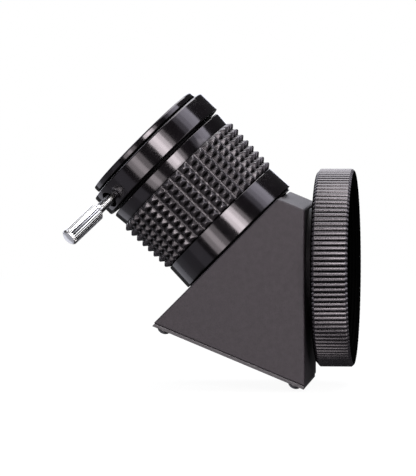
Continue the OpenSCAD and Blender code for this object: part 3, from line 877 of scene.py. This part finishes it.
def rubber_grip():
    """Sleeve with rows of blunt pyramids. It widens a little towards the eyepiece."""
    row_h = (sleeve_high - sleeve_low) / STUD_ROWS

    def studded(r, z, t):
        row = (z - sleeve_low) / row_h
        base = tip_r - TIP_RISE * (1 - row / STUD_ROWS)
        across = stud_profile((t * STUD_COLUMNS / TAU) % 1.0, 0.2, 0.88)
        along = stud_profile(row % 1.0, 0.16, 0.97)
        studs = base - STUD_H * np.clip((along ** 5 + across ** 5) ** 0.2, 0, 1)
        between_ends = (row > 0.001) & (row < STUD_ROWS - 0.001)
        outside = r > SEAT_R + 0.3
        return np.where(outside, np.where(between_ends, studs, base - STUD_H), r), z

    side_r = 23.0        # replaced by studded()
    side = line((side_r, sleeve_low), (side_r, sleeve_high), STUD_ROWS * STUD_STEPS) + [(side_r, sleeve_high)]
    profile = [(SEAT_R + SLIP, sleeve_low)] + side + [(SEAT_R + SLIP, sleeve_high)]
    piece("rubber_grip", lathe(profile, STUD_COLUMNS * STUD_STEPS, studded), EYE, "focus_ring",
          "grip_rubber", ["grip_sleeve"], smooth=28)


# ---------------------------------------------------------------- draw tube, clamp ring and end ring

THUMB_TURN = -54.0
GRUB_TURNS, GRUB_L = (150, 210), 4.2
STEM_HOLE_R, COUNTERBORE_R, COUNTERBORE_DEPTH = 1.55, 2.7, 1.8
HELIX_PITCH, HELIX_STARTS, HELIX_DEPTH = 1.5, 4, 0.35
SLOT_HALF_W, SLOT_DEPTH, SLOT_FROM, SLOT_TO = 1.05, 0.9, 11, 16
thumb_height = (EYE.inverted() @ THUMB.translation).z / MM
socket_r = MOUNTS["eyepiece_socket"]["dims"]["r_mm"]
tube_end, tube_top, _, _ = span("draw_tube", EYE)
clamp_low, clamp_high, _, clamp_r = span("clamp_ring", EYE)
towards_thumb = radially(THUMB_TURN, thumb_height)


def inner_tube():
    """Sliding tube with a four-start helical thread, two guide slots and the thumbscrew's hole."""
    helix_low, helix_high = ring_thread_low + 0.3, clamp_low - 0.4

    def threaded(r, z, t):
        fade = np.clip((z - helix_low) / 0.5, 0, 1) * np.clip((helix_high - z) / 0.4, 0, 1)
        cut = (r > DRAW_R - 0.01) & (z > helix_low) & (z < helix_high)
        wave = thread_wave(z, t, HELIX_PITCH, HELIX_STARTS)
        return np.where(cut, r - HELIX_DEPTH * fade * (1 - wave), r), z

    profile = [(socket_r, tube_end), (DRAW_R, tube_end)]
    profile += line((DRAW_R, helix_low), (DRAW_R, helix_high), 120)
    profile += [(DRAW_R, helix_high), (DRAW_R, tube_top), (socket_r, tube_top)]
    slot_low, slot_high = eye_port + SLOT_FROM - SLOT_HALF_W, eye_port + SLOT_TO + SLOT_HALF_W
    outline = rounded([(-SLOT_HALF_W, slot_low), (SLOT_HALF_W, slot_low), (SLOT_HALF_W, slot_high),
                       (-SLOT_HALF_W, slot_high)], 0.2, 2)
    slot = extruded(outline, DRAW_R - SLOT_DEPTH, DRAW_R + PAST, "xz")
    cutters = [moved(rod(STEM_HOLE_R, 0, DRAW_R + 2 * PAST), towards_thumb)]
    cutters += [moved(slot, turned(turn)) for turn in (180, 360)]
    piece("inner_tube", combined(lathe(profile, 192, threaded), cutters), EYE, "draw_tube",
          "satin_anodised", ["draw_tube"], smooth=40)


def thumbscrew_ring():
    """Clamp ring with the thumbscrew's counterbored hole and two grub screws."""
    in_r = DRAW_R + SLIP
    profile = rounded([(in_r, clamp_low), (clamp_r, clamp_low), (clamp_r, clamp_high), (in_r, clamp_high)],
                      [0.1, 0.52, 0.52, 0.1], 5)
    outside = clamp_r + 2 * PAST
    stem_hole = rod(STEM_HOLE_R, DRAW_R - PAST, outside)
    counterbore = rod(COUNTERBORE_R, clamp_r - COUNTERBORE_DEPTH, outside, 96)
    grub_hole = rod(M2_HOLE_R, DRAW_R - PAST, outside)
    grub_places = [radially(turn, thumb_height) for turn in GRUB_TURNS]
    cutters = [moved(stem_hole, towards_thumb), moved(counterbore, towards_thumb)]
    cutters += [moved(grub_hole, place) for place in grub_places]
    piece("thumbscrew_ring", combined(lathe(profile, 256), cutters), EYE, "draw_tube", "gloss_anodised",
          ["clamp_ring"], smooth=40)
    grubs = screw_set(grub_screw(GRUB_L), [place @ at(0, 0, in_r) for place in grub_places])
    piece("ring_grub_screws", grubs, EYE, "draw_tube", "black_steel", ["clamp_grub_screws"])


def top_ring():
    """Thin end ring over a shadow gap, with a lead-in for the eyepiece."""
    low, high, _, end_r = span("end_ring", EYE)
    in_r, gap_r, mouth_r = DRAW_R + SLIP, end_r - 1, socket_r + 0.25
    gap_h, lead_in = 0.5, 0.8
    profile = rounded([
        (in_r, low), (gap_r, low), (gap_r, low + gap_h), (end_r, low + gap_h), (end_r, high),
        (mouth_r + lead_in, high), (mouth_r, high - lead_in), (mouth_r, tube_top + SLIP),
        (in_r, tube_top + SLIP)],
        [0, 0.05, 0, 0.52, 0.52, 0.15, 0.1, 0, 0], 5)
    piece("top_ring", lathe(profile, 256), EYE, "draw_tube", "gloss_anodised", ["end_ring"], smooth=50)


# ---------------------------------------------------------------- thumbscrew

KNOB_RIBS, KNOB_RIB_DEPTH, KNOB_LAND = 24, 0.35, 0.45
stem_low, stem_high, _, stem_r = span("thumbscrew_stem", THUMB)
knob_low, knob_high, _, knob_r = span("thumbscrew_knob", THUMB)


def screw_stem():
    """Stem threaded up to just under the knob."""
    side, cut = threaded_shank(stem_r, stem_low + 0.4, knob_low - 1.2, 0.5, depth=0.22, lead_in=0.25)
    profile = [(0, stem_low), (stem_r - 0.4, stem_low)] + side
    profile += [(stem_r, knob_low - 1.0), (stem_r, stem_high), (0, stem_high)]
    piece("screw_stem", lathe(profile, 48, cut, closed=False), THUMB, "thumbscrew_stem", "pin_steel",
          ["thumbscrew_stem"])


def screw_knob():
    """Slender knob with a straight knurl, bored for the stem."""
    bore_r, bore_end = stem_r + 0.05, stem_high + 0.05
    profile = rounded([
        (0, bore_end), (bore_r, bore_end), (bore_r, knob_low), (knob_r - 0.6, knob_low),
        (knob_r, knob_low + 0.6), (knob_r, knob_high - 0.8), (knob_r - 0.6, knob_high - 0.2), (0, knob_high)],
        [0, 0, 0.08, 0.2, 0.25, 0.3, 0.3, 0], 4, closed=False)

    def ribbed(r, z, t):
        ribs = knob_r - KNOB_RIB_DEPTH * knurl(t, KNOB_RIBS, KNOB_LAND)
        return np.where(r > bore_r + 0.2, np.minimum(r, ribs), r), z

    piece("screw_knob", lathe(profile, KNOB_RIBS * 12, ribbed, closed=False), THUMB, "thumbscrew_knob",
          "knob_chrome", ["thumbscrew_knob"], smooth=50)


for build in (housing_casting, base_plate, base_screws, glass_prism, seat_flange, coupling_nut,
              slip_washer, holder_collar, turning_ring, rubber_grip, inner_tube, thumbscrew_ring, top_ring,
              screw_stem, screw_knob):
    build()


# ---------------------------------------------------------------- surroundings and floor

def surround():
    """Even surroundings: white to the camera, nearly dark to everything else."""
    world = bpy.data.worlds.new("surround")
    scene.world = world
    world.use_nodes = True
    tree = world.node_tree
    background = tree.nodes["Background"]
    path = tree.nodes.new("ShaderNodeLightPath")
    mix = tree.nodes.new("ShaderNodeMix")
    mix.data_type = "RGBA"
    mix.inputs[6].default_value = rgb(0.06, 0.06, 0.063)
    mix.inputs[7].default_value = rgb(1.0, 1.0, 1.0)
    tree.links.new(path.outputs["Is Camera Ray"], mix.inputs[0])
    tree.links.new(mix.outputs[2], background.inputs["Color"])
    background.inputs["Strength"].default_value = 1.0


def floor_material():
    """Pale floor: it takes soft shadows near the object and is evenly bright further out."""
    n = Nodes("pale_floor")
    n.coords = n.add("ShaderNodeNewGeometry").outputs["Position"]
    radius = n.radius()
    tone = n.mix(n.ramp(n.noise(0.002, 2.0), 0.3, 0.7), rgb(0.86, 0.86, 0.86), rgb(0.88, 0.88, 0.88))
    seen = n.add("ShaderNodeLightPath").outputs["Is Camera Ray"]
    dim = n.times(n.math("SUBTRACT", 1.0, seen), n.ramp(radius, 0.04, 0.2, 0.92, 1.0))
    n.set(Base_Color=n.mix(dim, tone, rgb(0.01, 0.01, 0.01)), Roughness=0.9)
    glow = n.add("ShaderNodeEmission", {"Color": rgb(1, 1, 1), "Strength": 1.0})
    blend = n.add("ShaderNodeMixShader")
    n.feed(blend.inputs[0], n.times(n.ramp(radius, 0.04, 0.5, 0.94, 1.0), seen))
    n.feed(blend.inputs[1], n.shader.outputs[0])
    n.feed(blend.inputs[2], glow.outputs[0])
    n.feed(n.tree.nodes["Material Output"].inputs["Surface"], blend.outputs[0])
    return n.material


def floor():
    """Wide floor just under the object. Only the camera sees it, so lights may stand below it."""
    mesh = bpy.data.meshes.new("floor")
    bm = bmesh.new()
    bmesh.ops.create_grid(bm, x_segments=8, y_segments=8, size=6.0)
    bm.to_mesh(mesh)
    bm.free()
    obj = bpy.data.objects.new("floor", mesh)
    obj.location = (0, 0, cad_low[2] - 0.0006)
    obj.visible_diffuse = False
    obj.visible_glossy = False
    obj.visible_shadow = False
    scene.collection.objects.link(obj)
    mesh.materials.append(floor_material())


surround()
floor()


# ---------------------------------------------------------------- lights

centre = (Vector(cad_low) + Vector(cad_high)) / 2
eye_axis = Vector(EYE.col[2][:3])
towards_coupling = Vector(EYE.col[0][:3])
# Roughly the way to the camera. Angles round the holder count from it.
front_dir = Vector((0.093, -0.994, 0.057)).normalized()
WHITE, KEY_TINT, SKY_TINT = (1.0, 1.0, 1.0), (1.0, 0.975, 0.955), (0.9, 0.91, 1.0)
BESIDE, AHEAD = (1, 0, 0), (0, 1, 0)


def softbox(name, direction, distance, width, height, radiance, along, tint=WHITE, about=centre):
    """An area light of a given brightness, in a direction from a point, with its height along an axis."""
    z = Vector(direction).normalized()
    y = (Vector(along) - Vector(along).dot(z) * z).normalized()
    x = y.cross(z)
    light = bpy.data.lights.new(name, "AREA")
    light.shape, light.size, light.size_y = "RECTANGLE", width, height
    light.energy, light.color = radiance * math.pi * width * height, tint
    obj = bpy.data.objects.new(name, light)
    scene.collection.objects.link(obj)
    m = Matrix((x, y, z)).transposed().to_4x4()
    m.translation = about + z * distance
    obj.matrix_world = m
    obj.visible_camera = False


def round_holder(angle):
    """Direction at an angle round the holder from the front, towards the coupling."""
    front = (front_dir - front_dir.dot(eye_axis) * eye_axis).normalized()
    across = front.cross(eye_axis)
    if across.dot(towards_coupling) < 0:
        across = -across
    a = math.radians(angle)
    return front * math.cos(a) + across * math.sin(a)


def band(name, first, step, radiances, distance, tint):
    """Strip lights side by side, which the holder shows as one soft-edged streak along its axis."""
    width = distance * math.radians(step)
    for i, radiance in enumerate(radiances):
        softbox(f"{name}_{i}", round_holder(first + i * step), distance, width, distance, radiance, eye_axis,
                tint, about=EYE.translation)


# The bands are what the glossy holder mirrors: its bright streak, the weaker one to the left of that,
# the bluish sheen on the coupling's side and the dim one on the other.
band("key", 8, 7, (14.0, 18.0, 12.0, 3.0), 0.4, KEY_TINT)
band("second", -38, 9, (3.6, 6.2, 2.4), 0.4, KEY_TINT)
band("sky", 60, 9, (0.9, 2.7, 4.0, 4.6), 1.2, SKY_TINT)
band("under", -132, 22, (0.8, 0.3, 0.25, 0.5), 1.2, SKY_TINT)
# The top light brightens what faces up, and the back light the housing's clipped top. The others are
# for the knob: upper_left for its upper edge, left for its end and side for its middle.
softbox("top", (0.12, 0.2, 1), 0.9, 1.1, 0.72, 5.5, BESIDE)
softbox("upper_left", (-0.5, 0.22, 0.9), 0.9, 1.0, 0.42, 0.8, BESIDE)
softbox("back", (-0.28, 0.87, 0.4), 1.2, 1.1, 1.1, 2.2, BESIDE, SKY_TINT)
softbox("left", (-0.85, 0.05, 0.55), 1.2, 0.7, 0.7, 3.0, AHEAD, SKY_TINT)
softbox("side", (0.93, -0.25, 0.25), 1.0, 0.5, 0.75, 1.4, (0.0, 0.3, 1.0))


# ---------------------------------------------------------------- camera

# The camera looks nearly square at the object's side, from far away with a long lens.
CAMERA_AZIMUTH = math.radians(5.84)
CAMERA_ELEVATION = math.radians(3.48)
CAMERA_ROLL = math.radians(-0.18)
CAMERA_DISTANCE = 1.4
CAMERA_LENS = 348.35
TARGET = Vector((-0.0384, 0.0, 0.00888))


def add_camera():
    """A camera that stands off from the target at its azimuth and elevation, and is rolled a little."""
    level = math.cos(CAMERA_ELEVATION)
    to_camera = Vector((math.sin(CAMERA_AZIMUTH) * level, -math.cos(CAMERA_AZIMUTH) * level,
                        math.sin(CAMERA_ELEVATION)))
    camera = bpy.data.objects.new("camera", bpy.data.cameras.new("camera"))
    camera.data.lens = CAMERA_LENS
    camera.data.clip_end = 20
    scene.collection.objects.link(camera)
    aim = (-to_camera).to_track_quat("-Z", "Y")
    roll = Matrix.Rotation(CAMERA_ROLL, 4, "Z").to_quaternion()
    camera.rotation_mode = "QUATERNION"
    camera.rotation_quaternion = aim @ roll
    camera.location = TARGET + to_camera * CAMERA_DISTANCE
    scene.camera = camera


add_camera()
scene.view_settings.view_transform = "Standard"
